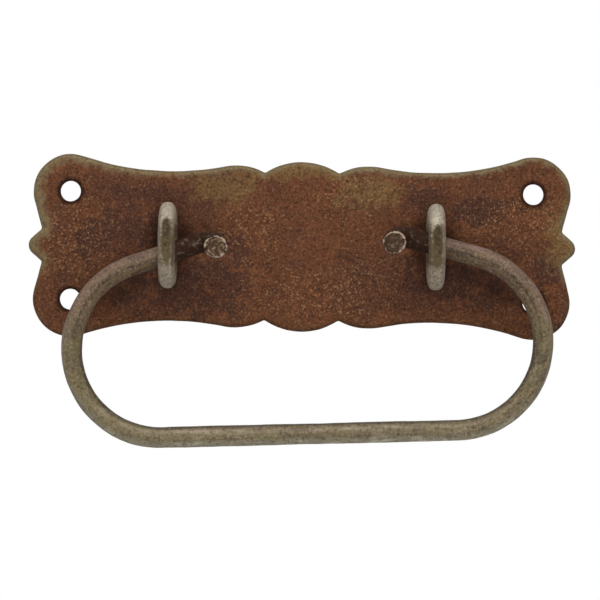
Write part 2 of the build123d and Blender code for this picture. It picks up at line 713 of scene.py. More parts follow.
@dataclass(frozen=True)
class RustedSheet:
    """The plate's brown rust patina, with olive and purple clouds, flecks and a rubbed edge, and painted
    shade in some purple patches, below the arms, round the eyes with grime and along the lower edge.
    """

    name: str = "rusted_sheet"
    brown: Colour = (0.094, 0.0362, 0.0156)
    plum_and_shadow: Colour = (0.052, 0.022, 0.015)
    olive: Colour = (0.138, 0.082, 0.031)
    russet: Colour = (0.144, 0.050, 0.021)
    fleck: Colour = (0.275, 0.150, 0.070)
    pit: Colour = (0.030, 0.015, 0.010)
    rubbed: Colour = (0.140, 0.111, 0.058)
    shade_and_grime: Colour = (0.24, 0.20, 0.19)
    soot: Colour = (0.42, 0.40, 0.40)
    clouds: Grain = Grain(15 * MM, 1.3, 6, 0.62)
    blotches: Grain = Grain(4.6 * MM, 5.1, 8, 0.66)
    freckles: Grain = Grain(1.7 * MM, 9.7, 5, 0.62)
    flecks: Grain = Grain(0.48 * MM, 2.9)
    pits: Grain = Grain(0.60 * MM, 7.7)
    grit: Grain = Grain(0.44 * MM, 4.4)
    blotch_drift: float = 3.0
    freckle_drift: float = 2.0
    plum_marks: Marks = Marks(0.46, 0.60, 0.65)
    russet_marks: Marks = Marks(0.45, 0.59, 0.80)
    rubbed_marks: Marks = Marks(0.20, 0.95)
    fleck_marks: Marks = Marks(0.52, 0.68, 0.70)
    pit_marks: Marks = Marks(0.53, 0.67)
    soot_marks: Marks = Marks(0.46, 0.64)
    patch_marks: Marks = Marks(1.25, 0.45)
    hole_marks: Marks = Marks(1.55, 1.10)
    foot_marks: Marks = Marks(1.15, 0.50, 0.90)
    lower_edge_shade_marks: Marks = Marks(0.10, 0.90, 0.20)
    plum_cover: float = 0.85
    haze_cover: float = 0.42
    haze_drift: float = 0.60
    olive_cover: float = 0.70
    scratch_cover: float = 0.45
    scratch_drift: float = 1.6
    shade_cover: float = 0.75
    shade_drift: float = 0.25
    fewest_flecks: float = 0.40
    rubbed_cover: float = 0.62
    rubbed_gain: float = 0.34
    pit_cover: float = 0.60
    pit_loss: float = 0.25
    soot_cover: float = 0.75
    soot_loss: float = 0.40
    foot_inset: float = 1.5 * MM
    foot_half_width: float = 6.6 * MM
    foot_half_height: float = 13.0 * MM
    roughness: float = 0.62
    rubbed_smoothness: float = 0.14
    roughness_sway: float = 0.30
    metallic: float = 0.08
    rubbed_metallic: float = 0.12
    specular: float = 0.06
    relief_strength: float = 0.35
    relief_height: float = 0.16 * MM
    olive_patches: tuple[Patch, ...] = (
        Patch(-18.0, 14.0, 9.0, 4.8),
        Patch(16.6, 12.8, 7.0, 4.6),
        Patch(0.0, 17.8, 13.0, 2.6),
        Patch(60.0, 3.0, 4.0, 7.0),
    )
    # Plum rust; the patches under the runs, at (-26, -9.6) and (33, -8), are painted shadow.
    plum_and_shadow_patches: tuple[Patch, ...] = (
        Patch(-40.0, 4.0, 9.5, 7.0),
        Patch(-26.0, -9.6, 15.0, 8.0),
        Patch(-48.5, 0.0, 5.0, 4.0),
        Patch(-15.0, -0.5, 4.5, 4.0),
        Patch(57.0, -5.0, 5.0, 4.0),
        Patch(28.0, 11.0, 6.0, 4.0),
        Patch(33.0, -8.0, 14.0, 6.0),
        Patch(-36.0, 12.0, 10.0, 3.0),
        Patch(40.0, 9.0, 8.0, 4.0),
    )
    haze_patches: tuple[Patch, ...] = (
        Patch(16.0, -8.0, 12.0, 9.0),
        Patch(-33.0, -3.0, 14.0, 8.0),
        Patch(49.0, 0.0, 8.0, 4.0),
    )
    # Painted shadow of the arms, on the plate below them.
    shaded_patches: tuple[Patch, ...] = (
        Patch(-42.0, -8.8, 13.0, 4.4, -33.0),
        Patch(43.0, -7.0, 13.0, 4.4, 28.0),
    )
    fleck_patches: tuple[Patch, ...] = (
        Patch(50.0, 6.0, 12.0, 7.0),
        Patch(-53.0, 2.0, 8.0, 9.0),
        Patch(-12.0, 4.0, 7.0, 8.0),
        Patch(12.0, 12.0, 11.0, 5.0),
        Patch(6.0, -10.0, 18.0, 6.0),
    )
    scratches: tuple[Patch, ...] = (
        Patch(17.0, -6.4, 6.0, 0.16, 9.0),
        Patch(14.0, -3.2, 4.0, 0.12, 24.0),
        Patch(-8.0, 8.0, 5.0, 0.10, -18.0),
    )

    def material(self, hole: Vector, hole_radius: float, eye_x: float) -> bpy.types.Material:
        """Make the finish.

        Args:
            hole: Place of one screw hole; the others mirror it.
            hole_radius: Radius of the holes.
            eye_x: How far the eyes stand from the middle.

        Returns:
            The material.
        """
        graph = Coat(self.name)
        blotch = graph.noise(self.blotches)
        freckle = graph.noise(self.freckles)
        flecks = graph.noise(self.flecks)
        pits = graph.noise(self.pits)
        grit = graph.noise(self.grit)
        drift = blotch.sway * self.blotch_drift + freckle.sway * self.freckle_drift
        edge = graph.attribute("rubbed_edge_with_shade")
        rubbed = self.rubbed_marks.on(edge + blotch.sway * 1.3 + freckle.sway * 1.5)
        scratched = self._cover(graph, self.scratches, freckle.sway * self.scratch_drift)
        bare = rubbed.most(scratched * self.scratch_cover)
        crowded = self._cover(graph, self.fleck_patches, drift)
        fleck_share = self.fewest_flecks + (1 - self.fewest_flecks) * crowded
        pit_share = self.pit_cover - edge * self.pit_loss
        soot_share = self.soot_cover - edge * self.soot_loss

        colour = self._patina(graph, blotch, freckle, drift)
        colour = graph.mix(colour, self.rubbed, bare * (self.rubbed_cover + edge * self.rubbed_gain))
        colour = graph.mix(colour, self.fleck, self.fleck_marks.on(flecks) * fleck_share)
        colour = graph.mix(colour, self.pit, self.pit_marks.on(pits) * pit_share)
        colour = graph.mix(colour, self.soot, self.soot_marks.on(grit) * soot_share, Blend.DARKEN)
        ring = graph.spot((hole.x, 0.0, hole.z), (hole_radius, 1.0, hole_radius), within=graph.mirrored())
        # Grime and painted shade, multiplied over the colour.
        colour = graph.mix(colour, self.shade_and_grime, self._shade_and_dirt(graph, ring, eye_x, drift), Blend.DARKEN)

        smoothed = bare * self.rubbed_smoothness
        graph.dress(
            {
                "Base Color": colour,
                "Roughness": self.roughness - smoothed + freckle.sway * self.roughness_sway,
                "Metallic": self.metallic + bare * self.rubbed_metallic,
                "Specular IOR Level": self.specular,
            }
        )
        height = flecks * 0.5 + freckle * 0.7 + blotch * 0.6 + grit * 0.25 - pits * 0.4
        graph.bump(height, self.relief_strength, self.relief_height)
        return graph.material

    def _patina(self, graph: Coat, blotch: Value, freckle: Value, drift: Value) -> Value:
        """The rust itself, with painted shadow in some of its purple patches, before anything rubs or soils
        it.

        Args:
            graph: The material's graph.
            blotch: Noise of middling size.
            freckle: Finer noise.
            drift: How far the edges of patches wander.

        Returns:
            The colour.
        """
        clouds = graph.noise(self.clouds)
        russet = self.russet_marks.on(freckle * 0.6 + blotch * 0.4)
        plum_and_shadow = self.plum_marks.on(clouds * 0.4 + blotch * 0.4 + freckle * 0.2)
        # Plum rust tone, with painted shadow from the patches that lie under the runs.
        plum_and_shadow = plum_and_shadow.most(self._cover(graph, self.plum_and_shadow_patches, drift) * self.plum_cover)
        haze = self._cover(graph, self.haze_patches, drift * self.haze_drift)
        plum_and_shadow = plum_and_shadow.most(haze * self.haze_cover)
        olive = self._cover(graph, self.olive_patches, drift) * self.olive_cover
        colour = graph.mix(self.brown, self.russet, russet)
        colour = graph.mix(colour, self.plum_and_shadow, plum_and_shadow)
        return graph.mix(colour, self.olive, olive)

    def _shade_and_dirt(self, graph: Coat, ring: Value, eye_x: float, drift: Value) -> Value:
        """Darkening round the screw holes, grime and painted shade round the eyes, painted shadow below the
        arms and painted shade along the lower edge.

        Args:
            graph: The material's graph.
            ring: Distance from the nearest screw hole, 1 at its rim.
            eye_x: How far the eyes stand from the middle.
            drift: How far the darkening's edges wander.

        Returns:
            How strong the darkening is.
        """
        # Grime with painted shade round the feet of the eyes.
        foot_reach = (self.foot_half_width, 1.0, self.foot_half_height)
        foot = graph.spot((eye_x, 0.0, -self.foot_inset), foot_reach, within=graph.mirrored())
        shade_and_dirt = self.hole_marks.on(ring + drift * 0.10).most(self.foot_marks.on(foot + drift * 0.15))
        # Painted shadow below the arms.
        shade = self._cover(graph, self.shaded_patches, drift * self.shade_drift)
        shade_and_dirt = shade_and_dirt.most(shade * self.shade_cover)
        # Painted shade along the downward-facing lower edge.
        return shade_and_dirt.most(self.lower_edge_shade_marks.on(graph.attribute("shaded_lower_edge") + drift * 0.12))

    def _cover(self, graph: Coat, patches: Sequence[Patch], drift: Value) -> Value:
        """Soft cover of several patches, with edges that wander by a drift."""
        return reduce(Value.most, [self.patch_marks.on(patch.reach(graph) + drift) for patch in patches])


@dataclass(frozen=True)
class RubbedRing:
    """The eyes' steel: rubbed bright above and below, with a painted highlight on top and on the outer
    sides, olive between, and a dark slot in front that is a painted reflection.
    """

    name: str = "rubbed_ring"
    bright: Colour = (0.310, 0.264, 0.202)
    low: Colour = (0.255, 0.210, 0.155)
    olive: Colour = (0.112, 0.083, 0.048)
    dark: Colour = (0.030, 0.019, 0.009)
    bronze: Colour = (0.083, 0.058, 0.027)
    pit: Colour = (0.070, 0.052, 0.034)
    spark: Colour = (0.480, 0.420, 0.335)
    clouds: Grain = Grain(2.8 * MM, 3.1, 5, 0.62)
    freckles: Grain = Grain(1.1 * MM, 6.2, 3, 0.60)
    grit: Grain = Grain(0.62 * MM, 8.4)
    sparks: Grain = Grain(0.74 * MM, 2.6, 3)
    bright_marks: Marks = Marks(0.34, 0.62)
    low_marks: Marks = Marks(-0.36, -0.58)
    outer_highlight_marks: Marks = Marks(0.35, 0.85, 0.30)
    spark_marks: Marks = Marks(0.50, 0.66, 0.38)
    pit_marks: Marks = Marks(0.50, 0.66, 0.55)
    slot_marks: Marks = Marks(1.55, 0.45)
    reflection_tone_marks: Marks = Marks(0.42, 0.58)
    slot_half_width: float = 1.05 * MM
    slot_half_height: float = 4.9 * MM
    half_width: float = 1.95 * MM
    roughness: float = 0.56
    slot_roughness: float = 0.12
    roughness_sway: float = 0.30
    metallic: float = 0.42
    slot_dullness: float = 0.40
    specular: float = 0.12
    relief_strength: float = 0.45
    relief_height: float = 0.14 * MM

    def material(self, eye_x: float, half_height: float, slot_rise: float) -> bpy.types.Material:
        """Make the finish.

        Args:
            eye_x: How far the eyes stand from the middle.
            half_height: Radius of the rings.
            slot_rise: How far the slot's middle lies above the ring's.

        Returns:
            The material.
        """
        graph = Coat(self.name)
        cloud = graph.noise(self.clouds)
        freckle = graph.noise(self.freckles)
        grit = graph.noise(self.grit)
        sparks = graph.noise(self.sparks)
        out = graph.component("X", graph.mirrored()) - eye_x
        height = graph.component("Z")
        uneven = cloud.sway * 1.6 + freckle.sway * 0.8

        # Brighter on top than below: rubbed steel with a painted highlight from above.
        level = height * (1 / half_height) + uneven * 0.30
        colour = graph.mix(self.olive, self.bright, self.bright_marks.on(level))
        colour = graph.mix(colour, self.low, self.low_marks.on(level))
        # Painted highlight on the outer side of each ring.
        colour = graph.mix(colour, self.bright, self.outer_highlight_marks.on(out * (1 / self.half_width)))
        colour = graph.mix(colour, self.spark, self.spark_marks.on(sparks))
        colour = graph.mix(colour, self.pit, self.pit_marks.on(grit))

        # The dark slot on the front is a painted reflection of the dark surroundings in front of the ring.
        across = out * (1 / self.slot_half_width)
        along = (height - slot_rise) * (1 / self.slot_half_height)
        # The fourth power gives the slot long straight sides and blunt ends.
        ends = along * along * along * along
        front_reflection = self.slot_marks.on(across * across + ends + uneven * 1.3 + grit.sway * 2.4)
        depth = along * 0.07 + cloud * 0.3 + freckle * 0.4 + grit * 0.3
        reflection_tone = graph.mix(self.bronze, self.dark, self.reflection_tone_marks.on(depth))
        graph.dress(
            {
                "Base Color": graph.mix(colour, reflection_tone, front_reflection),
                "Roughness": self.roughness
                + front_reflection * self.slot_roughness
                + freckle.sway * self.roughness_sway,
                "Metallic": self.metallic - front_reflection * self.slot_dullness,
                "Specular IOR Level": self.specular,
            }
        )
        relief = freckle * 0.7 + cloud * 0.5 - grit * 0.6
        graph.bump(relief, self.relief_strength, self.relief_height)
        return graph.material


@dataclass(frozen=True)
class AntiqueRod:
    """The bail's dull grey steel, streaked along the rod, with sheared ends; painted shade darkens the
    bends behind the ends and the sides facing in and down, and painted highlight lightens the sides facing
    up and out.
    """

    name: str = "antique_rod"
    pewter: Colour = (0.112, 0.093, 0.041)
    pale: Colour = (0.240, 0.190, 0.146)
    umber: Colour = (0.054, 0.040, 0.022)
    dark: Colour = (0.024, 0.009, 0.004)
    glint: Colour = (0.270, 0.212, 0.152)
    rim: Colour = (0.345, 0.262, 0.198)
    sheared: Colour = (0.048, 0.027, 0.015)
    scuffed: Colour = (0.235, 0.150, 0.092)
    side_shade: Colour = (0.030, 0.023, 0.017)
    sheen: Colour = (0.385, 0.360, 0.280)
    warmth: Colour = (0.98, 0.80, 0.94)
    streaks: Grain = Grain(1.2 * MM, 2.2, 5, 0.62)
    clouds: Grain = Grain(6.0 * MM, 4.9, 5, 0.60)
    freckles: Grain = Grain(1.1 * MM, 7.3, 3, 0.60)
    flecks: Grain = Grain(0.58 * MM, 3.6)
    pits: Grain = Grain(0.66 * MM, 1.8)
    worn_marks: Marks = Marks(0.48, 0.70)
    umber_marks: Marks = Marks(0.46, 0.62, 0.90)
    side_shade_marks: Marks = Marks(0.15, 1.00)
    black_marks: Marks = Marks(0.30, 0.85)
    shear_marks: Marks = Marks(0.35, 0.75)
    scuff_marks: Marks = Marks(0.46, 0.62)
    shadowed_run_glint_marks: Marks = Marks(0.53, 0.64, 0.30)
    glint_marks: Marks = Marks(0.50, 0.66)
    pit_marks: Marks = Marks(0.50, 0.66, 0.42)
    rim_marks: Marks = Marks(0.36, 0.98)
    pale_cover: float = 0.12
    polish_highlight_gain: float = 0.80
    sheen_cover: float = 0.35
    worn_sheen: float = 0.60
    side_shade_cover: float = 0.85
    right_scuffs: float = 0.14
    left_scuffs: float = 0.98
    middle_reach: float = 5.0 * MM
    glint_cover: float = 0.36
    glint_loss: float = 0.31
    roughness: float = 0.54
    black_roughness: float = 0.12
    roughness_sway: float = 0.30
    metallic: float = 0.18
    worn_metallic: float = 0.20
    side_shade_dullness: float = 0.60
    specular: float = 0.08
    relief_strength: float = 0.42
    relief_height: float = 0.16 * MM

    def material(self) -> bpy.types.Material:
        """Make the finish.

        Returns:
            The material.
        """
        graph = Coat(self.name)
        streak = graph.noise(self.streaks, graph.attribute("rod_grain", "Vector"))
        cloud = graph.noise(self.clouds)
        freckle = graph.noise(self.freckles)
        flecks = graph.noise(self.flecks)
        pits = graph.noise(self.pits)
        uneven = cloud.sway * 0.7 + freckle.sway * 0.7
        worn = self.worn_marks.on(1 - streak + cloud.sway * 0.6 + freckle.sway * 0.5)
        # Painted shade on the sides that face in and down.
        shaded_side = self.side_shade_marks.on(graph.attribute("shaded_side") + uneven * 0.5)
        # Painted shade on the runs behind the turned ends, and less of it further along.
        shadowed_run = self.black_marks.on(graph.attribute("shadowed_run") + uneven)

        colour = graph.mix(self.pewter, self.umber, self.umber_marks.on(streak * 0.65 + cloud * 0.35))
        # Pale polish on the upper and outer sides, partly painted highlight.
        polish_and_highlight_share = self.pale_cover + graph.attribute("polish_and_highlight") * self.polish_highlight_gain
        colour = graph.mix(colour, self.pale, (worn * 0.6 + 0.4) * polish_and_highlight_share)
        sheen = graph.attribute("sheen") * (self.sheen_cover + worn * self.worn_sheen)
        colour = graph.mix(colour, self.sheen, sheen)
        colour = graph.mix(colour, self.warmth, graph.attribute("over_plate"), Blend.DARKEN)
        colour = graph.mix(colour, self.side_shade, shaded_side * self.side_shade_cover)
        colour = graph.mix(colour, self.dark, shadowed_run)
        face = self._end_face(graph, freckle * 0.6 + flecks * 0.4)
        sheared = self.shear_marks.on(graph.attribute("sheared") + freckle.sway * 0.5)
        colour = graph.mix(colour, face, sheared)
        # Painted highlight specks on the shadowed runs.
        shadowed_run_glints = self.shadowed_run_glint_marks.on(freckle * 0.7 + streak * 0.3) * shadowed_run
        glint = self.glint_marks.on(flecks) * (self.glint_cover - shadowed_run * self.glint_loss)
        colour = graph.mix(colour, self.glint, shadowed_run_glints.most(glint))
        colour = graph.mix(colour, self.dark, self.pit_marks.on(pits))
        rim = graph.attribute("rim_wear_and_highlight") + freckle.sway * 1.9 + flecks.sway * 1.2
        colour = graph.mix(colour, self.rim, self.rim_marks.on(rim))

        black_rough = shadowed_run * self.black_roughness
        shine = (self.metallic + worn * self.worn_metallic) * (1 - shadowed_run)
        graph.dress(
            {
                "Base Color": colour,
                "Roughness": self.roughness + black_rough + freckle.sway * self.roughness_sway,
                "Metallic": shine * (1 - shaded_side * self.side_shade_dullness),
                "Specular IOR Level": self.specular,
            }
        )
        relief = streak * 0.9 + freckle * 0.6 - pits * 0.6
        graph.bump(relief, self.relief_strength, self.relief_height)
        return graph.material

    def _end_face(self, graph: Coat, mottle: Value) -> Value:
        """The sheared faces, much more scuffed on the left end than on the right.

        Args:
            graph: The material's graph.
            mottle: Fine noise.

        Returns:
            The colour.
        """
        left = graph.component("X").ramp(self.middle_reach, -self.middle_reach)
        share = self.right_scuffs + left * (self.left_scuffs - self.right_scuffs)
        return graph.mix(self.sheared, self.scuffed, self.scuff_marks.on(mottle) * share)


# The back plate


@dataclass
class BackPlate:
    """The scalloped plate, punched from sheet, its front edge rolled over and nibbled by use.

    The rubbing along the edge fades downwards as painted shade on the lower edge, by heights that are
    counted in nub heights.
    """

    finish: RustedSheet
    node: str = "back_plate"
    slot: str = "rusted_steel"
    middle_height: float = 39.4 * MM
    waist_height: float = 34.8 * MM
    middle_lobe_radius: float = 15.3 * MM
    side_lobe_radius: float = 14.4 * MM
    side_lobe_spacing: float = 31.0 * MM
    sweep_radius: float = 64.6 * MM
    corner_radius: float = 8.65 * MM
    side_inset: float = 1.95 * MM
    nub_height: float = 7.6 * MM
    nub_reach: float = 3.1 * MM
    nub_tip_radius: float = 2.4 * MM
    notch_round: float = 0.7 * MM
    edge_round: float = 1.2 * MM
    edge_segments: int = 7
    punch_round: float = 0.35 * MM
    punch_fineness: int = 3
    eye_spacing: float = 61.4 * MM
    eye_foot_radius: float = 4.0 * MM
    shank_hole_radius: float = 1.55 * MM
    rivet_mouth_radius: float = 2.9 * MM
    rubbed_width: float = 2.5 * MM
    rubbed_left: float = 1.4
    rubbed_left_start: float = 0.6
    rub_in_lower_shade: float = 0.34
    lower_shade_fade: Slope = Slope(-1.6, -0.4)
    pitch: float = 0.7 * MM
    fine_pitch: float = 0.7 / 3 * MM
    grid_snap: float = 0.02 * MM
    cutter_margin: float = 1.0 * MM
    hole_steps: int = 64
    sharp_angle: float = radians(40)
    wear: tuple[Waviness, ...] = (
        Waviness(24 * MM, 0.10 * MM, 3.0),
        Waviness(7 * MM, 0.045 * MM, 11.0),
        Waviness(2.4 * MM, 0.018 * MM, 5.0),
    )
    nibble: Waviness = Waviness(3.4 * MM, 0.11 * MM, 17.0)
    hole: Vector = field(init=False)
    hole_radius: float = field(init=False)
    thickness: float = field(init=False)

    def __post_init__(self) -> None:
        """Take the screw pattern and the thickness from the frame."""
        pattern = frame["record"]["mounts"][0]["dims"]
        self.hole = Vector((pattern["spacing_x_mm"], 0, pattern["spacing_y_mm"])) * (MM / 2)
        self.hole_radius = pattern["hole_r_mm"] * MM
        low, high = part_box(self.node)
        self.thickness = high[1] - low[1]

    def build(self) -> bpy.types.Object:
        """Model the plate and put it in place of its node.

        Returns:
            The plate.
        """
        blank = self._blank()
        outline = [vert.co.copy() for vert in blank.verts if vert.co.y > -MERGE]
        piece = to_object(blank, "scalloped_plate", self.sharp_angle)
        self._punch(piece)
        self._weather(piece, outline)
        stand_for(piece, Body.PLATE, self.node)
        return piece

    def dress(self, piece: bpy.types.Object) -> None:
        """Give the plate its rust."""
        piece.data.materials.clear()
        piece.data.materials.append(self.finish.material(self.hole, self.hole_radius, self.eye_spacing / 2))

    def _quarter(self, bm: bmesh.types.BMesh) -> None:
        """Draw the upper right quarter of the outline, every arc running smoothly into the next.

        Args:
            bm: The empty mesh.
        """
        rise = self.waist_height / 2 + self.sweep_radius
        corner_reach = self.sweep_radius + self.corner_radius
        sweep = Vector((self.hole.x - sqrt(corner_reach**2 - (rise - self.hole.z) ** 2), 0, rise))
        side_x = self.side_lobe_spacing / 2
        side_reach = self.sweep_radius + self.side_lobe_radius
        side = Vector((side_x, 0, rise - sqrt(side_reach**2 - (sweep.x - side_x) ** 2)))
        middle = Vector((0, 0, self.middle_height / 2 - self.middle_lobe_radius))
        cusp = crossing(
            middle,
            self.middle_lobe_radius + self.notch_round,
            side,
            self.side_lobe_radius + self.notch_round,
        )
        notch = Vector((self.hole.x + self.corner_radius - self.side_inset, 0, self.nub_height / 2))
        nub = Vector((notch.x + self.nub_reach - self.nub_tip_radius, 0, 0))
        flank = tangent_point(notch, self.hole, self.corner_radius, 1)
        nub_start = tangent_point(notch, nub, self.nub_tip_radius, -1)
        notch_start, notch_centre, notch_end = bend(flank, notch, nub_start, self.notch_round)

        top = Vector((0, 0, self.middle_height / 2))
        pen = Tracer(bm, [bm.verts.new(top)], top, self.pitch)
        pen.arc(middle, towards(middle, cusp, self.middle_lobe_radius))
        pen.pitch = self.fine_pitch
        pen.arc(cusp, towards(side, cusp, self.side_lobe_radius))
        pen.pitch = self.pitch
        pen.arc(side, towards(side, sweep, self.side_lobe_radius))
        pen.arc(sweep, towards(self.hole, sweep, self.corner_radius))
        pen.arc(self.hole, flank)
        pen.line(notch_start)
        pen.pitch = self.fine_pitch
        pen.arc(notch_centre, notch_end)
        pen.line(nub_start)
        pen.arc(nub, nub + X_AXIS * self.nub_tip_radius)

    def _blank(self) -> bmesh.types.BMesh:
        """The plate without its holes: outline, thickness, rolled edge and a fine grid on the front.

        Returns:
            The mesh.
        """
        bm = bmesh.new()
        self._quarter(bm)
        for axis in ("X", "Z"):
            bmesh.ops.mirror(
                bm, geom=bm.verts[:] + bm.edges[:], matrix=Matrix(), merge_dist=MERGE, axis=axis
            )
        bmesh.ops.remove_doubles(bm, verts=bm.verts[:], dist=MERGE)
        bmesh.ops.edgeloop_fill(bm, edges=bm.edges[:])
        raised = bmesh.ops.extrude_face_region(bm, geom=bm.faces[:])["geom"]
        bmesh.ops.translate(bm, verts=verts_of(raised), vec=-Y_AXIS * self.thickness)
        bmesh.ops.recalc_face_normals(bm, faces=bm.faces[:])
        bmesh.ops.bevel(
            bm,
            geom=edges_of(raised),
            offset=self.edge_round,
            offset_type="OFFSET",
            segments=self.edge_segments,
            profile=0.5,
            affect="EDGES",
            material=-1,
            clamp_overlap=False,
        )
        self._grid(bm)
        return bm

    def _grid(self, bm: bmesh.types.BMesh) -> None:
        """Cut the flat front into small squares, so that it can be uneven.

        Args:
            bm: The plate without its holes.
        """
        cap = min(bm.faces, key=lambda face: face.calc_center_median().y)
        cut: list[object] = [cap, *cap.edges, *cap.verts]
        low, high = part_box(self.node)
        for axis, start, end in ((X_AXIS, low[0], high[0]), (Z_AXIS, low[2], high[2])):
            rows = round((end - start) / self.pitch)
            for row in range(1, rows):
                place = axis * (start + (end - start) * row / rows)
                cut = bmesh.ops.bisect_plane(
                    bm, geom=cut, dist=self.grid_snap, plane_co=place, plane_no=axis
                )["geom"]

    def _punch(self, piece: bpy.types.Object) -> None:
        """Cut the screw holes, rolled over at the front, and the countersunk shank holes.

        Args:
            piece: The plate without its holes.
        """
        punch = bmesh.new()
        for across in (-1, 1):
            for up in (-1, 1):
                screw = Vector((across * self.hole.x, 0, up * self.hole.z))
                self._add_cutter(punch, screw, self._screw_profile)
            self._add_cutter(punch, Vector((across * self.eye_spacing / 2, 0, 0)), self._shank_profile)
        bmesh.ops.recalc_face_normals(punch, faces=punch.faces[:])
        tool = to_object(punch, "punch", self.sharp_angle)
        cut = piece.modifiers.new("holes", "BOOLEAN")
        cut.operation = "DIFFERENCE"
        cut.solver = "EXACT"
        cut.object = tool
        evaluated = piece.evaluated_get(bpy.context.evaluated_depsgraph_get())
        punched = bpy.data.meshes.new_from_object(evaluated)
        piece.modifiers.clear()
        blank = piece.data
        piece.data = punched
        bpy.data.meshes.remove(blank)
        bpy.data.objects.remove(tool)

    def _add_cutter(
        self, punch: bmesh.types.BMesh, centre: Vector, draw: Callable[[Tracer], None]
    ) -> None:
        """Turn one profile round a hole's axis and add it to the punch.

        Args:
            punch: The mesh of all cutters.
            centre: Where the hole's axis meets the back face.
            draw: The method that draws the profile.
        """
        single = bmesh.new()
        start = Vector((0, -self.thickness - self.cutter_margin, 0))
        pen = Tracer(single, [single.verts.new(start)], start, self.thickness)
        draw(pen)
        lathe(pen, Y_AXIS, self.hole_steps)
        bmesh.ops.translate(single, verts=single.verts[:], vec=centre)
        part = bpy.data.meshes.new("cutter")
        single.to_mesh(part)
        single.free()
        punch.from_mesh(part)
        bpy.data.meshes.remove(part)

    def _screw_profile(self, pen: Tracer) -> None:
        """Half section of a screw hole's cutter, from the axis at the front to the axis at the back.

        Args:
            pen: The tracer, on the axis in front of the plate.
        """
        mouth = self.hole_radius + self.punch_round
        front = -self.thickness
        pen.line(Vector((mouth, front - self.cutter_margin, 0)))
        pen.line(Vector((mouth, front, 0)))
        pen.pitch = self.punch_round / self.punch_fineness
        pen.arc(
            Vector((mouth, front + self.punch_round, 0)),
            Vector((self.hole_radius, front + self.punch_round, 0)),
        )
        pen.pitch = self.thickness
        pen.line(Vector((self.hole_radius, self.cutter_margin, 0)))
        pen.line(Vector((0, self.cutter_margin, 0)))

    def _shank_profile(self, pen: Tracer) -> None:
        """Half section of a shank hole's cutter, with the countersink at the back.

        Args:
            pen: The tracer, on the axis in front of the plate.
        """
        flare = self.rivet_mouth_radius - self.shank_hole_radius
        pen.line(Vector((self.shank_hole_radius, -self.thickness - self.cutter_margin, 0)))
        pen.line(Vector((self.shank_hole_radius, -flare, 0)))
        pen.line(Vector((self.rivet_mouth_radius + self.cutter_margin, self.cutter_margin, 0)))
        pen.line(Vector((0, self.cutter_margin, 0)))

    def _weather(self, piece: bpy.types.Object, outline: Sequence[Vector]) -> None:
        """Make the front and the edge uneven, and mark how near each point is to the edge.

        Args:
            piece: The punched plate.
            outline: Points along the back edge.
        """
        tree = kdtree.KDTree(len(outline))
        for index, point in enumerate(outline):
            tree.insert(point, index)
        tree.balance()
        bm = bmesh.new()
        bm.from_mesh(piece.data)
        bmesh.ops.remove_doubles(bm, verts=bm.verts[:], dist=MERGE)
        rubbed = bm.verts.layers.float.new("rubbed_edge_with_shade")
        lower_edge_shade = bm.verts.layers.float.new("shaded_lower_edge")
        share: dict[bmesh.types.BMVert, float] = {}
        edge_share: dict[bmesh.types.BMVert, float] = {}
        for vert in bm.verts:
            flat = Vector((vert.co.x, 0, vert.co.z))
            inset = tree.find(flat)[2]
            depth = progress(-vert.co.y, 0.0, self.thickness / 2)
            # The plate stays flat where an eye sits on it.
            eye = X_AXIS * copysign(self.eye_spacing / 2, flat.x)
            clear = progress((flat - eye).length, self.eye_foot_radius, 2 * self.eye_foot_radius)
            share[vert] = depth * clear
            edge_share[vert] = depth * progress(inset, self.edge_round, 0.0)
            # The left end is rubbed further in than the rest, and the lower edge less brightly, as painted
            # shade.
            leftness = max(0.0, -flat.x / self.hole.x - self.rubbed_left_start)
            rub_width = self.rubbed_width * (1 + self.rubbed_left * leftness)
            edge_light = between(self.rub_in_lower_shade, 1.0, self.lower_shade_fade.at(flat.z / self.nub_height))
            raised = 1.0 if vert.co.y < -MERGE else 0.0
            vert[rubbed] = progress(inset, rub_width, 0.0) * edge_light * raised
            # Painted shade on the lower edge, darker towards the bottom.
            vert[lower_edge_shade] = progress(inset, self.edge_round, 0.0) * progress(flat.z, 0.0, -self.hole.z)
        weather(bm, self.wear, share)
        weather(bm, (self.nibble,), edge_share)
        bm.to_mesh(piece.data)
        bm.free()
        piece.data.shade_smooth()
        piece.data.set_sharp_from_angle(angle=self.sharp_angle)


# The ring eyes


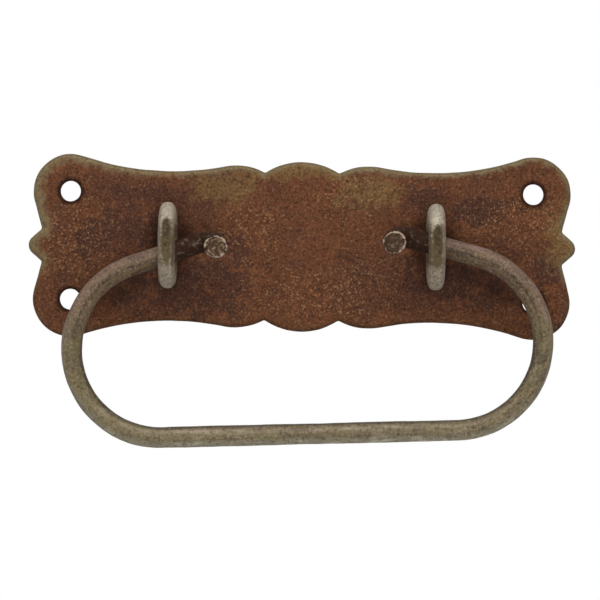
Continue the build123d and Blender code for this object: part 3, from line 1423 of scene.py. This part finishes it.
@dataclass
class RingEye:
    """A ring of oval section with a flat band round it, riveted through the plate by its shank."""

    side: Side
    finish: RubbedRing
    slot: str = "rubbed_steel"
    half_width: float = 1.95 * MM
    half_depth: float = 2.6 * MM
    half_band: float = 0.7 * MM
    band_crown: float = 0.12 * MM
    shank_radius: float = 1.5 * MM
    shank_pitch: float = 1.0 * MM
    rivet_radius: float = 2.85 * MM
    rivet_sink: float = 0.1 * MM
    rivet_border: float = 0.5 * MM
    rivet_dish_width: float = 0.8 * MM
    rivet_dish_rise: float = 0.03 * MM
    left_slot_rise: float = 1.2 * MM
    section_steps: int = 44
    ring_steps: int = 160
    sharp_angle: float = radians(50)
    wear: tuple[Waviness, ...] = (
        Waviness(5.0 * MM, 0.07 * MM, 2.0),
        Waviness(1.7 * MM, 0.030 * MM, 8.0),
    )
    node: str = field(init=False)
    middle: Vector = field(init=False)
    ring_radius: float = field(init=False)
    seat: float = field(init=False)

    def __post_init__(self) -> None:
        """Take the ring's place and size from its node."""
        self.node = f"{self.side.name.lower()}_eye"
        low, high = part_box(self.node)
        self.ring_radius = (high[2] - low[2]) / 2
        self.middle = Vector(((low[0] + high[0]) / 2, low[1] + self.ring_radius, 0))
        self.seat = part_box(BackPlate.node)[0][1]

    @property
    def section_middle(self) -> float:
        """How far the middle of the oval section lies from the ring's axis."""
        return self.ring_radius - self.half_depth * sqrt(1 - (self.half_band / self.half_width) ** 2)

    def build(self) -> bpy.types.Object:
        """Model the eye and put it in place of its node.

        Returns:
            The eye.
        """
        bm = bmesh.new()
        self._add_ring(bm)
        self._add_shank(bm)
        bmesh.ops.remove_doubles(bm, verts=bm.verts[:], dist=MERGE)
        bmesh.ops.recalc_face_normals(bm, faces=bm.faces[:])
        share = {vert: 0.0 for vert in bm.verts if vert.co.y > self.seat - MERGE}
        weather(bm, self.wear, share)
        piece = to_object(bm, f"{self.side.name.lower()}_ring_eye", self.sharp_angle)
        stand_for(piece, Body.PLATE, self.node)
        return piece

    def dress(self, piece: bpy.types.Object) -> None:
        """Give the eye its rubbed steel.

        Args:
            piece: The eye.
        """
        slot_rise = self.left_slot_rise if self.side is Side.LEFT else 0.0
        finish = self.finish.material(abs(self.middle.x), self.ring_radius, slot_rise)
        piece.data.materials.append(finish)

    def _add_ring(self, bm: bmesh.types.BMesh) -> None:
        """Spin the oval section into a ring and cut it flat where it sits on the plate.

        Args:
            bm: The empty mesh.
        """
        oval = Matrix.Diagonal((self.half_width, self.half_depth, 1, 1))
        section = bmesh.ops.create_circle(
            bm,
            segments=self.section_steps,
            radius=1,
            matrix=Matrix.Translation(self.middle + Z_AXIS * self.section_middle)
            @ Matrix.Rotation(pi / 2, 4, "X")
            @ oval,
        )["verts"]
        for vert in section:
            crown = self.band_crown * ((vert.co.x - self.middle.x) / self.half_band) ** 2
            vert.co.z = min(vert.co.z, self.ring_radius - crown)
        bmesh.ops.spin(
            bm,
            geom=ring_around(section),
            cent=self.middle,
            axis=X_AXIS,
            angle=2 * pi,
            steps=self.ring_steps,
            use_merge=True,
        )
        bmesh.ops.remove_doubles(bm, verts=bm.verts[:], dist=MERGE)
        bmesh.ops.bisect_plane(
            bm,
            geom=bm.verts[:] + bm.edges[:] + bm.faces[:],
            dist=MERGE,
            plane_co=Y_AXIS * self.seat,
            plane_no=Y_AXIS,
            clear_outer=True,
        )

    def _add_shank(self, bm: bmesh.types.BMesh) -> None:
        """Carry the ring's seat on as a shank and spread it into the rivet at the back.

        Args:
            bm: The mesh of the ring.
        """
        seat_edges = [edge for edge in bm.edges if edge.is_boundary]
        foot = Vector((self.middle.x, self.seat, 0))
        circle = bmesh.ops.create_circle(
            bm,
            segments=self.section_steps,
            radius=self.shank_radius,
            matrix=Matrix.Translation(foot) @ Matrix.Rotation(pi / 2, 4, "X"),
        )["verts"]
        ring = ring_around(circle)
        bmesh.ops.bridge_loops(bm, edges=seat_edges + edges_of(ring))
        flare = self.rivet_radius - self.shank_radius
        pen = Tracer(bm, ring, foot, self.shank_pitch)
        pen.line(Vector((self.middle.x, -flare, 0)))
        pen.line(Vector((self.middle.x, -self.rivet_sink, 0)))
        spread = (self.rivet_radius - self.rivet_sink) / self.shank_radius
        bmesh.ops.scale(
            bm, verts=verts_of(pen.geom), vec=(spread, 1, spread), space=Matrix.Translation(-pen.place)
        )
        head = bmesh.ops.edgeloop_fill(bm, edges=edges_of(pen.geom))["faces"]
        bmesh.ops.inset_region(bm, faces=head, thickness=self.rivet_border, depth=0.0)
        bmesh.ops.inset_region(bm, faces=head, thickness=self.rivet_dish_width, depth=self.rivet_dish_rise)


# The bail


@dataclass
class Bail:
    """The drop handle of bent rod: two upset ends, knees, runs through the eyes, arms and bar.

    The wear and the painted shade and highlight on the rod depend on how far it faces the inside of the
    handle, from -1 to 1.
    """

    finish: AntiqueRod
    node: str = "bail"
    slot: str = "antique_steel"
    rod_radius: float = 2.38 * MM
    arm_radius: float = 20.2 * MM
    run_slope: float = radians(17.2)
    arm_run: float = 9.5 * MM
    tip_spacing: float = 40.6 * MM
    knee_radius: float = 5.0 * MM
    tip_droop: float = radians(19.5)
    tip_clearance: float = 2.1 * MM
    hang_clearance: float = 0.3 * MM
    shift: float = 0.8 * MM
    skew: float = radians(1.85)
    head_radius: float = 2.75 * MM
    head_length: float = 1.2 * MM
    head_round: float = 0.34 * MM
    head_pitch: float = 0.24 * MM
    dish_depth: float = 0.16 * MM
    dish_rim_depth: float = 0.20 * MM
    dish_rim_width: float = 0.45 * MM
    shear_fade: float = 0.40 * MM
    rim_wear: Ridge = Ridge(0.06 * MM, 0.42 * MM)
    rim_wear_depth: float = 0.6 * MM
    rim_highlight_above: float = 0.1
    hidden_end: float = 14.5 * MM
    hidden_fade: float = 2.5 * MM
    shade_fade_end: float = 38.0 * MM
    near_end_shade: float = 0.42
    handled_reach: float = 36.0 * MM
    plate_end: float = 50.0 * MM
    plate_fade: float = 10.0 * MM
    run_shade: tuple[WearAndShade, ...] = (Ridge(0.02, 0.42, 0.76), Slope(0.78, 0.98, 0.60))
    arm_shade: tuple[WearAndShade, ...] = (Slope(-0.15, 0.10, 0.50), Slope(0.60, 0.95, 0.50))
    bar_shade: tuple[WearAndShade, ...] = (Slope(0.58, 0.92, 0.80),)
    bar_sheen: Slope = Slope(0.40, 0.75)
    bar_crest: Ridge = Ridge(0.38, 0.38, 0.50)
    bar_polish_and_highlight: float = 0.42
    arm_polish_and_highlight: float = 0.50
    run_polish_and_highlight: float = 0.40
    grain_stretch: float = 0.22
    rod_steps: int = 56
    pitch: float = 0.5 * MM
    sharp_angle: float = radians(55)
    wear: tuple[Waviness, ...] = (
        Waviness(13.0 * MM, 0.10 * MM, 4.0),
        Waviness(4.0 * MM, 0.055 * MM, 9.0),
        Waviness(1.5 * MM, 0.020 * MM, 1.0),
    )
    shear: tuple[Waviness, ...] = (
        Waviness(1.3 * MM, 0.16 * MM, 6.0),
        Waviness(0.6 * MM, 0.08 * MM, 7.0),
    )

    def build(self, eye: RingEye) -> bpy.types.Object:
        """Model the bail and put it in place of its node.

        Args:
            eye: The left eye, which the bail hangs by.

        Returns:
            The bail.
        """
        bm = bmesh.new()
        half_length = self._half(bm, eye)
        everything = bm.verts[:] + bm.edges[:] + bm.faces[:]
        bmesh.ops.mirror(bm, geom=everything, matrix=Matrix(), merge_dist=MERGE, axis="X")
        bmesh.ops.recalc_face_normals(bm, faces=bm.faces[:])
        self._lay_grain(bm, half_length, self._arm_middle(eye))
        bmesh.ops.transform(bm, matrix=self._hung(eye), verts=bm.verts[:])
        sheared = bm.verts.layers.float["sheared"]
        face_share = {vert: vert[sheared] for vert in bm.verts}
        weather(bm, self.shear, face_share)
        weather(bm, self.wear)
        piece = to_object(bm, "drop_bail", self.sharp_angle)
        stand_for(piece, Body.BAIL, self.node)
        return piece

    def dress(self, piece: bpy.types.Object) -> None:
        """Give the bail its antique steel."""
        piece.data.materials.append(self.finish.material())

    def _hung(self, eye: RingEye) -> Matrix:
        """Where the bail hangs: its own X along the bar, Y up and Z towards the front.

        Args:
            eye: The left eye.

        Returns:
            The move from the bail's own place to its place in the frame.
        """
        # The sloping run lies just clear of the lower side of the ring.
        lean = self.run_slope + self.skew
        eye_reach = sqrt((eye.half_width * sin(lean)) ** 2 + (eye.half_depth * cos(lean)) ** 2)
        gap = (eye_reach + self.rod_radius + self.hang_clearance) / cos(lean)
        corner = Vector((eye.middle.x, eye.middle.y, gap - eye.section_middle))
        across = Vector((cos(self.skew), 0, sin(self.skew)))
        up = Vector((-sin(self.skew), 0, cos(self.skew)))
        turn = Matrix((across, up, -Y_AXIS)).transposed().to_4x4()
        return Matrix.Translation(corner) @ turn @ Matrix.Translation(X_AXIS * self._half_span(eye))

    def _half_span(self, eye: RingEye) -> float:
        """From the left eye to the bail's middle."""
        return abs(eye.middle.x) + self.shift

    def _run_end(self, eye: RingEye) -> Vector:
        """Where the left run passes into the arm."""
        run = self.arm_run - self.shift / cos(self.run_slope)
        return Vector((-self._half_span(eye) - run * cos(self.run_slope), -run * sin(self.run_slope), 0))

    def _arm_middle(self, eye: RingEye) -> Vector:
        """Centre of the left arm's bend."""
        down = Vector((sin(self.run_slope), -cos(self.run_slope), 0))
        return self._run_end(eye) + down * self.arm_radius

    def _half(self, bm: bmesh.types.BMesh, eye: RingEye) -> float:
        """Model the left half, from the sheared end to the middle of the bar.

        Args:
            bm: The empty mesh.
            eye: The left eye.

        Returns:
            Length of the half rod.
        """
        run_end = self._run_end(eye)
        arm = self._arm_middle(eye)
        knee_x = -self.tip_spacing / 2
        knee = Vector((knee_x, (knee_x + self._half_span(eye)) * tan(self.run_slope), 0))
        reach = eye.seat - eye.middle.y - self.tip_clearance
        ahead = Vector((0, -sin(self.tip_droop), cos(self.tip_droop)))
        tip = knee + ahead * reach
        bend_start, bend_centre, bend_end = bend(tip, knee, run_end, self.knee_radius)

        ring = self._add_head(bm, tip, ahead)
        rod = Tracer(bm, ring, tip - ahead * self.head_length, self.pitch)
        rod.length_layer = bm.verts.layers.float["rod_length"]
        rod.line(bend_start)
        rod.arc(bend_centre, bend_end)
        rod.line(run_end)
        rod.arc(arm, arm - Y_AXIS * self.arm_radius)
        rod.line(Vector((0, arm.y - self.arm_radius, 0)))
        return rod.length

    def _add_head(self, bm: bmesh.types.BMesh, tip: Vector, ahead: Vector) -> Geometry:
        """Turn the upset end: a dished sheared face inside a worn rim.

        Args:
            bm: The empty mesh.
            tip: Middle of the end.
            ahead: The way the end points.

        Returns:
            The ring where the plain rod starts.
        """
        sheared = bm.verts.layers.float.new("sheared")
        worn = bm.verts.layers.float.new("rim_wear_and_highlight")
        bm.verts.layers.float.new("rod_length")
        crest = self.head_radius - self.head_round
        start = Vector((0, 0, -self.dish_depth))
        pen = Tracer(bm, [bm.verts.new(start)], start, self.head_pitch)
        pen.line(Vector((crest - self.dish_rim_width, 0, -self.dish_rim_depth)))
        pen.line(Vector((crest, 0, 0)))
        pen.arc(Vector((crest, 0, -self.head_round)), Vector((self.head_radius, 0, -self.head_round)))
        pen.line(Vector((self.rod_radius, 0, -self.head_length)))
        for vert in bm.verts:
            vert[sheared] = progress(crest - vert.co.x, 0.0, self.shear_fade)
            in_front = vert.co.z >= -self.rim_wear_depth
            vert[worn] = self.rim_wear.at(vert.co.x - crest) if in_front else 0.0
        lathe(pen, Z_AXIS, self.rod_steps)
        for vert in bm.verts:
            # Painted highlight: the worn rim is brighter towards its top.
            vert[worn] *= 1 + self.rim_highlight_above * (vert.co.y / self.head_radius - 1)
        turn = Z_AXIS.rotation_difference(ahead).to_matrix().to_4x4()
        bmesh.ops.transform(bm, matrix=Matrix.Translation(tip) @ turn, verts=bm.verts[:])
        return ring_around(vert for edge in bm.edges if edge.is_boundary for vert in edge.verts)

    def _lay_grain(self, bm: bmesh.types.BMesh, half_length: float, arm: Vector) -> None:
        """Give each point its place along and round the rod, and the wear, painted shade and painted
        highlight that go with it.

        Args:
            bm: The whole bail, before it is hung.
            half_length: Length of the half rod.
            arm: Centre of the left arm's bend.
        """
        length = bm.verts.layers.float["rod_length"]
        grain = bm.verts.layers.float_vector.new("rod_grain")
        black = bm.verts.layers.float.new("shadowed_run")
        shaded_side = bm.verts.layers.float.new("shaded_side")
        polish_and_highlight = bm.verts.layers.float.new("polish_and_highlight")
        sheen = bm.verts.layers.float.new("sheen")
        over_plate = bm.verts.layers.float.new("over_plate")
        bm.normal_update()
        for vert in bm.verts:
            from_end = vert[length]
            along = from_end if vert.co.x < 0 else 2 * half_length - from_end
            around = vert.normal * self.rod_radius
            vert[grain] = Vector((along * self.grain_stretch, around.y, around.z))
            # Painted shade: black on the runs behind the turned ends and darker next to them; rubbed where
            # hands grip.
            hidden = progress(from_end, self.hidden_end, self.hidden_end - self.hidden_fade)
            near_end_shaded = progress(from_end, self.shade_fade_end, self.hidden_end)
            vert[black] = max(hidden, self.near_end_shade * near_end_shaded)
            gripped = progress(from_end, self.shade_fade_end, self.shade_fade_end + self.handled_reach) ** 2
            covered = progress(from_end, self.plate_end, self.plate_end - self.plate_fade)
            vert[over_plate] = covered

            # The inside is the line between the centres of the two arms' bends.
            middle = Vector((max(arm.x, min(-arm.x, vert.co.x)), arm.y, 0))
            inward = (middle - vert.co).normalized().dot(vert.normal)
            # Painted shade on the sides that face in and down, with a dark band along the middle of the
            # runs over the plate.
            below = between(total(self.arm_shade, inward), total(self.bar_shade, inward), gripped)
            vert[shaded_side] = between(below, total(self.run_shade, inward), covered)
            # Polish with a painted highlight on the outer sides of the arms and runs, and in a band along
            # the top of the bar.
            outer_polish_and_highlight = (self.arm_polish_and_highlight + self.run_polish_and_highlight * covered) * max(0.0, -inward)
            vert[polish_and_highlight] = between(outer_polish_and_highlight, self.bar_polish_and_highlight + self.bar_crest.at(inward), gripped)
            vert[sheen] = self.bar_sheen.at(-inward) * gripped


# Studio


@dataclass(frozen=True)
class Lamp:
    """A soft box: where it stands, its size and its power in watts."""

    name: str
    place: Triple
    size: float
    power: float


@dataclass
class Studio:
    """Pale floor, soft boxes, white surroundings and the photograph's camera."""

    camera_distance: float = 700 * MM
    picture_width: float = 139.19 * MM
    picture_middle: tuple[float, float] = (-0.295 * MM, -12.33 * MM)
    sensor: float = 36.0
    roll: float = radians(-0.446)
    floor_drop: float = 90 * MM
    floor_size: float = 40.0
    floor_colour: Colour = (0.86, 0.86, 0.86)
    floor_roughness: float = 0.9
    floor_sharp_angle: float = radians(30)
    shadow_reach: float = 150 * MM
    white_reach: float = 320 * MM
    white_level: float = 1.0
    surround_level: float = 0.22
    lamps: tuple[Lamp, ...] = (
        Lamp("left_box", (-0.56, -0.40, 0.26), 0.40, 1.4),
        Lamp("right_box", (0.56, -0.40, 0.26), 0.40, 1.25),
        Lamp("top_box", (0.0, -0.46, 0.56), 0.30, 3.55),
        Lamp("low_box", (0.0, -0.44, -0.07), 0.12, 0.45),
    )

    def build(self) -> None:
        """Set up floor, lamps, surroundings and camera."""
        self._add_floor()
        for lamp in self.lamps:
            self._add_lamp(lamp)
        self._add_surroundings()
        self._add_camera()
        bpy.context.scene.view_settings.view_transform = "Standard"

    def _add_floor(self) -> None:
        """A wide pale floor under the handle, white where the camera looks past the handle."""
        bm = bmesh.new()
        bmesh.ops.create_grid(bm, x_segments=1, y_segments=1, size=self.floor_size / 2)
        height = CAD_BOX[0][2] - self.floor_drop
        bmesh.ops.translate(bm, verts=bm.verts[:], vec=Z_AXIS * height)
        floor = to_object(bm, "floor", self.floor_sharp_angle)
        graph = Coat("pale_floor")
        graph.dress(
            {
                "Base Color": self.floor_colour,
                "Roughness": self.floor_roughness,
                "Specular IOR Level": 0.0,
            }
        )
        glow = graph.node("ShaderNodeEmission", sockets={0: WHITE, 1: self.white_level})
        lit = Value(graph, graph.shader.outputs["BSDF"])
        far = graph.spot((0, 0, height)).ramp(self.shadow_reach, self.white_reach)
        shown = graph.node("ShaderNodeMixShader", sockets={0: graph.seen() * far, 1: lit, 2: glow})
        graph.feed(graph.tree.nodes["Material Output"].inputs["Surface"], shown)
        floor.data.materials.append(graph.material)

    def _add_lamp(self, lamp: Lamp) -> None:
        """One square soft box that faces the handle.

        Args:
            lamp: The soft box.
        """
        light = bpy.data.lights.new(lamp.name, "AREA")
        light.shape = "SQUARE"
        light.size = lamp.size
        light.energy = lamp.power
        stand = bpy.data.objects.new(lamp.name, light)
        stand.location = lamp.place
        stand.rotation_euler = (-Vector(lamp.place)).to_track_quat("-Z", "Y").to_euler()
        bpy.context.scene.collection.objects.link(stand)

    def _add_surroundings(self) -> None:
        """White surroundings to look at, and a softer level of light from all sides."""
        world = bpy.data.worlds.new("white_surroundings")
        bpy.context.scene.world = world
        world.use_nodes = True
        graph = Graph(world.node_tree)
        soft = graph.node("ShaderNodeBackground", sockets={0: WHITE, 1: self.surround_level})
        bright = graph.node("ShaderNodeBackground", sockets={0: WHITE, 1: self.white_level})
        shown = graph.node("ShaderNodeMixShader", sockets={0: graph.seen(), 1: soft, 2: bright})
        graph.feed(graph.tree.nodes["World Output"].inputs["Surface"], shown)

    def _add_camera(self) -> None:
        """A long lens square to the plate, rolled as the photograph is."""
        lens = bpy.data.cameras.new("photo_camera")
        lens.sensor_width = self.sensor
        lens.lens = self.sensor * self.camera_distance / self.picture_width
        camera = bpy.data.objects.new("photo_camera", lens)
        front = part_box(BackPlate.node)[0][1]
        across, up = self.picture_middle
        camera.location = (across, front - self.camera_distance, up)
        camera.rotation_euler = (pi / 2, self.roll, 0)
        bpy.context.scene.collection.objects.link(camera)
        bpy.context.scene.camera = camera


def report(piece: bpy.types.Object) -> None:
    """Log a finished piece."""
    LOG.info("%s: %d faces", piece.name, len(piece.data.polygons))


def main() -> None:
    """Build the handle's pieces in order, then the studio."""
    logging.basicConfig(level=logging.INFO, format="%(name)s: %(message)s")
    plate = BackPlate(RustedSheet())
    plate_piece = plate.build()
    plate.dress(plate_piece)
    report(plate_piece)
    eyes = [RingEye(side, RubbedRing()) for side in Side]
    for eye in eyes:
        eye_piece = eye.build()
        eye.dress(eye_piece)
        report(eye_piece)
    bail = Bail(AntiqueRod())
    bail_piece = bail.build(eyes[0])
    bail.dress(bail_piece)
    report(bail_piece)
    studio = Studio()
    studio.build()
    LOG.info("studio: floor, %d lamps and camera", len(studio.lamps))


if __name__ == "__main__":
    main()
